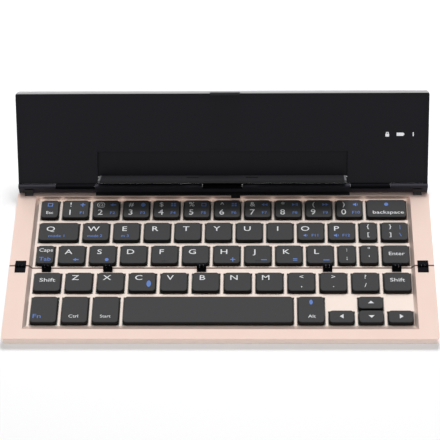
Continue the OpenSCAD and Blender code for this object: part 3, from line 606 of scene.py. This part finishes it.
# Each mark is its text or sign, its place on the cap in mm, its size, its ink and how far
# the letters are stretched sideways.
seconds = (
    "ring", "back", "dot", "grid", "frame", "grid", "rewind", "play", "forward", "speaker",
)
figures = [figure("!@#$%^&*()"[i], "1234567890"[i], f"F{i + 1}", seconds[i]) for i in range(10)]
softer = [("speaker", -3.0, -3.4, 0.9, BLUE, 0)]
louder = [("speaker", -3.0, -3.4, 1.1, BLUE, 0)]
legends = {
    "esc_key": [[("frame", 0, 3.0, 1.2, BLUE, 0), ("Esc", 0, -3.1, 3.0, WHITE, 1.15)]],
    "number_keys_left": figures[:5],
    "number_keys_right": figures[5:],
    "backspace_key": [
        [("dot", 0, 3.0, 1.0, BLUE, 0), ("backspace", 1.0, -3.2, 3.3, WHITE, 1.42)],
    ],
    "q_key": [letter("Q", -5.0, extra=[("mode 1", -1.0, -3.6, 2.7, BLUE, 1.25)])],
    "upper_keys_left": [
        letter("W", -1.5, extra=[("mode 2", -0.6, -3.6, 2.7, BLUE, 1.1)]),
        letter("E", -1.4, extra=[("m 3", -0.8, -3.6, 2.6, BLUE, 1.2)]),
        letter("R", -1.5),
        letter("T", -1.1),
    ],
    "upper_keys_right": [
        letter("Y", -1.1),
        letter("U", -1.2),
        letter("I", -1.4),
        letter("O", -3.4, extra=[*softer, ("F11", 2.6, -3.4, 2.8, BLUE, 1.15)]),
        letter("P", -3.2, extra=[*louder, ("F12", 2.6, -3.4, 2.8, BLUE, 1.15)]),
    ],
    "bracket_keys": [
        pair("{", "["),
        [
            *pair("}", "]", -2.4),
            ("|", 3.4, 3.0, 3.6, BLUE, 1.1),
            ("\\", 3.4, -3.0, 3.6, BLUE, 1.4),
        ],
    ],
    "caps_key": [[("Caps", 0.2, 3.0, 3.5, WHITE, 1.2), ("Tab", 0, -3.6, 3.9, BLUE, 1.2)]],
    "home_keys_left": [
        letter("A", extra=[("back", 2.6, -4.0, 1.1, BLUE, 0)]),
        letter("S", extra=[("dot", 2.6, -4.0, 0.9, BLUE, 0)]),
        letter("D"),
        letter("F"),
        letter("G"),
    ],
    "home_keys_right": [
        letter("H", -1.7, extra=[("ring", 3.6, -4.0, 1.2, BLUE, 0)]),
        letter("J", -1.8, extra=[("dash", 3.6, -4.2, 1.3, BLUE, 0)]),
        letter("K", -1.8, extra=[("equals", 3.6, -4.0, 1.1, BLUE, 0)]),
        letter("L", -2.3, extra=[("dash", 3.6, -4.4, 1.4, BLUE, 0)]),
    ],
    "quote_keys": [pair(":", ";"), pair('"', "'")],
    "enter_key": [[("Enter", 0.4, 0.2, 3.5, WHITE, 1.25)]],
    "left_shift_key": [[("Shift", 0, 1.0, 3.6, WHITE, 1.5)]],
    "lower_keys_left": [
        letter("Z", -2.2, 2.6),
        letter("X", -2.2, 2.6),
        letter("C", -2.2, 2.6, [("badge", 3.9, -1.6, 1.0, BLUE, 0)]),
        letter("V", -2.3, 2.6),
        letter("B", -2.2, 2.6),
    ],
    "lower_keys_right": [
        letter("N", -2.2, 2.6),
        letter("M", -2.3, 2.6),
        pair("<", ","),
        pair(">", "."),
        pair("?", "/"),
    ],
    "right_shift_key": [[("Shift", 0, 1.0, 3.6, WHITE, 1.4)]],
    "fn_key": [[("Fn", -3.8, -5.0, 4.0, BLUE, 1.4)]],
    "ctrl_key": [[("Ctrl", -0.5, -5.0, 3.0, WHITE, 1.2)]],
    "start_key": [[("Start", 0, -5.0, 2.8, WHITE, 1.15)]],
    "alt_key": [[("badge", 0, 5.0, 0.75, BLUE, 0), ("Alt", 0.4, -5.0, 3.0, WHITE, 1.2)]],
    "left_arrow_key": [[("left", 0.2, 0, 1.2, WHITE, 0)]],
    "right_arrow_key": [[("right", 0.2, 0, 1.2, WHITE, 0)]],
    "up_arrow_key": [[("up", 0.2, 0, 1.2, WHITE, 0)]],
    "down_arrow_key": [[("down", 0.2, 0, 1.2, WHITE, 0)]],
}
for node, prints in legends.items():
    bm = bmesh.new()
    for (x, y, width, depth, low, high), marks in zip(cap_places(node), prints):
        for sign, dx, dy, size, ink, stretch in marks:
            here = (x + dx * mm, y + dy * mm, high + ink_t)
            if sign in SIGNS:
                print_sign(bm, sign, *here, size, ink)
            else:
                print_text(bm, sign, *here, size, ink, stretch)
    piece = mesh_piece(node + "_print", bm, [white_ink, blue_ink], smooth=False)
    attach(piece, node)

# Small moulded bars on two of the home keys let the fingers find their place. They stand
# near the keys' front edge.
bar_down, bar_l, bar_w, bar_corner = 0.0047, 0.0034, 0.0009, 0.0003
bar_rings = ((0.0, -0.00005), (0.0, 0.00008), (0.0001, 0.00016))
for node, index in (("home_keys_left", 3), ("home_keys_right", 1)):
    x, y, width, depth, low, high = cap_places(node)[index]
    bm = bmesh.new()
    rings = []
    for inset, z in bar_rings:
        length, breadth = bar_l - 2 * inset, bar_w - 2 * inset
        rings.append(rounded_ring(bm, x, y - bar_down, length, breadth, bar_corner, high + z, 3))
    skin(bm, rings[0], rings[1])
    skin(bm, rings[1], rings[2])
    bm.faces.new(rings[2])
    bm.faces.new(list(reversed(rings[0])))
    piece = mesh_piece(node + "_home_bar", bm, [cap_plastic])
    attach(piece, node)

# The fold hinges are black-painted steel knuckles on webs and leaves, turning on thin
# bright pins. The lid's knuckles and pins are of the same kind.
black_paint = Finish("black_paint", Specular_IOR_Level=0.0)
orange_peel = black_paint.mottle(1400, 2, (0.010, 0.010, 0.013), (0.015, 0.015, 0.018))
black_paint.roughen(orange_peel, 0.36, 0.46)
black_paint.relief(orange_peel, 0.00001, 0.00012)
for node in ("middle_fold_knuckles", "front_fold_knuckles", "lid_knuckles"):
    dress(node, black_paint)
for node in (
    "fold_pins", "lid_hinge_pins", "front_magnets", "lid_magnets", "flap_pin", "charging_port",
):
    dress(node, steel)

# The hinge wall is a strip of extruded aluminium, painted a matte black, that stands along
# the rear rim and carries the lid's barrel on its top.
wall_paint = Finish("wall_paint", Specular_IOR_Level=0.0, Roughness=0.7)
wall_grain = wall_paint.mottle(1600, 2, (0.062, 0.060, 0.074), (0.078, 0.076, 0.092))
wall_paint.relief(wall_grain, 0.00001)
dress("hinge_wall", wall_paint)

# The wall's feet on the rear rim and the latch on the lid's free edge are die-cast and
# coated a satin dark grey.
coated = Finish("dark_coating", Specular_IOR_Level=0.25)
cast_grain = coated.mottle(2200, 2, (0.016, 0.016, 0.019), (0.022, 0.022, 0.025))
coated.roughen(cast_grain, 0.4, 0.5)
coated.relief(cast_grain, 0.00001, 0.00015)
for node in ("rear_hinge_brackets", "lid_latch"):
    dress(node, coated)

# The flap is stamped from sheet and coated like the latch; its raised end lips are painted
# light grey, a painted highlight where the ends catch the light.
flap_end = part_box("stand_flap")[1].x
lip_inner, lip_outer = 0.0013, 0.0011
stamped = Finish("flap_coating", Specular_IOR_Level=0.25)
pressed = stamped.noise(1800, 3)
from_middle = stamped.along("X").distance(0.0)
# The light grey at the flap's ends is a painted highlight.
painted_highlight_ends = stamped.between(from_middle, flap_end - lip_inner, flap_end - lip_outer, 0, 1)
coating = stamped.tint(pressed, (0.018, 0.018, 0.021), (0.024, 0.024, 0.027))
stamped.feed("Base Color", stamped.mix(painted_highlight_ends, coating, (0.16, 0.16, 0.17, 1)))
stamped.roughen(pressed, 0.42, 0.52)
dress("stand_flap", stamped)

# The lid is a shallow aluminium tray in silver grey, closed by a black moulded panel
# with a pocket for the flap and three small smoked windows.
silver, silver_cloud = anodised("silver_anodised", 0.36, 0.00025)
silver.feed("Base Color", silver.tint(silver_cloud, (0.50, 0.50, 0.505), (0.46, 0.46, 0.465)))
dress("lid_shell", silver)
black_panel = Finish("black_panel", Specular_IOR_Level=0.17)
fine = black_panel.mottle(3600, 2, (0.008, 0.0076, 0.012), (0.010, 0.0096, 0.0145))
black_panel.roughen(fine, 0.38, 0.46)
black_panel.relief(fine, 0.000008, 0.0002)
dress("lid_inner_panel", black_panel)
window = Finish("smoked_window", Roughness=0.3, Specular_IOR_Level=0.15)
window.mottle(800, 2, (0.007, 0.007, 0.009), (0.010, 0.010, 0.012))
dress("indicator_lenses", window)

# The three windows carry small white signs, faintly lit from behind: a lock for the
# capitals, a battery and a plain bar for the power.
axis = Vector(joints["cover_fold"]["pos_m"])
lean = math.radians(38)
up_lid = Vector((0, math.sin(lean), math.cos(lean)))
out_lid = Vector((0, -math.cos(lean), math.sin(lean)))


def on_lid(bm, x, along, out):
    spot = axis + up_lid * along + out_lid * out
    return bm.verts.new((x, spot.y, spot.z))


lens_low, lens_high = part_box("indicator_lenses")
sign_up = ((lens_low + lens_high) / 2 - axis).dot(up_lid)
sign_out, first_in, last_in = -0.00122, 0.0013, 0.000845
first_x, last_x = lens_low.x + first_in, lens_high.x - last_in
lock = [
    bar(-1.1, -1.4, 1.1, 0.4),
    bar(-0.8, 0.4, -0.4, 1.4),
    bar(0.4, 0.4, 0.8, 1.4),
    bar(-0.4, 1.0, 0.4, 1.4),
]
battery = [bar(-2.2, -1.0, 1.9, 1.0), bar(1.9, -0.5, 2.4, 0.5)]
power = [bar(-0.3, -1.2, 0.3, 1.2)]
lit_sign = Finish("lit_sign", Roughness=0.4, Emission_Strength=0.55)
glass = lit_sign.tint(lit_sign.noise(2500, 2), (0.86, 0.87, 0.9), (0.76, 0.77, 0.8))
lit_sign.feed("Base Color", glass)
lit_sign.feed("Emission Color", glass)
bm = bmesh.new()
for x, outlines in ((first_x, lock), ((first_x + last_x) / 2, battery), (last_x, power)):
    for outline in outlines:
        ring = [on_lid(bm, x + px * mm, sign_up + py * mm, sign_out) for px, py in outline]
        bm.faces.new(ring)
signs = mesh_piece("window_signs", bm, [lit_sign], smooth=False)
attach(signs, "lid")

# A thin black lip along the lid's foot lies close over the barrel of the hinge wall and
# hides the gap behind it; it is left out at the three knuckles.
lid_low, lid_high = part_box("lid_shell")
knuckle_half, overlap = 0.012, 0.0003
outer_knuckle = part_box("lid_knuckles")[1].x - knuckle_half
lip_foot, lip_top, lip_t = 0.00133, 0.0015, 0.0012
lip_profile = ((lip_foot, 0.0), (lip_top, 0.0), (lip_top, -lip_t), (lip_foot, -lip_t))
breaks = [lid_low.x]
for x in (-outer_knuckle, 0, outer_knuckle):
    breaks += [x - knuckle_half + overlap, x + knuckle_half - overlap]
breaks.append(lid_high.x)
bm = bmesh.new()
for ends in zip(breaks[::2], breaks[1::2]):
    rings = [[on_lid(bm, x, *spot) for spot in lip_profile] for x in ends]
    skin(bm, rings[0], rings[1])
    bm.faces.new(rings[0])
    bm.faces.new(list(reversed(rings[1])))
bmesh.ops.recalc_face_normals(bm, faces=bm.faces)
lip = mesh_piece("lid_foot_lip", bm, [black_paint], smooth=False)
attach(lip, "lid")

# Inside the lid lie a foil battery pouch with a creased skin and a circuit board under
# green solder mask.
foil = Finish("battery_foil", Metallic=1.0, Roughness=0.35)
creases = foil.mottle(220, 4, (0.7, 0.71, 0.73), (0.6, 0.61, 0.63))
foil.relief(creases, 0.0001)
dress("lid_battery", foil)
mask = Finish("board_mask", Roughness=0.3)
cells = {"Vector": mask.place(), "Scale": 380.0}
copper = mask.add("ShaderNodeTexVoronoi", {"feature": "DISTANCE_TO_EDGE"}, cells)
traces = mask.between(copper, 0.02, 0.06, 0, 1)
mask.feed("Base Color", mask.tint(traces, (0.05, 0.3, 0.16), (0.02, 0.17, 0.09)))
dress("lid_circuit_board", mask)
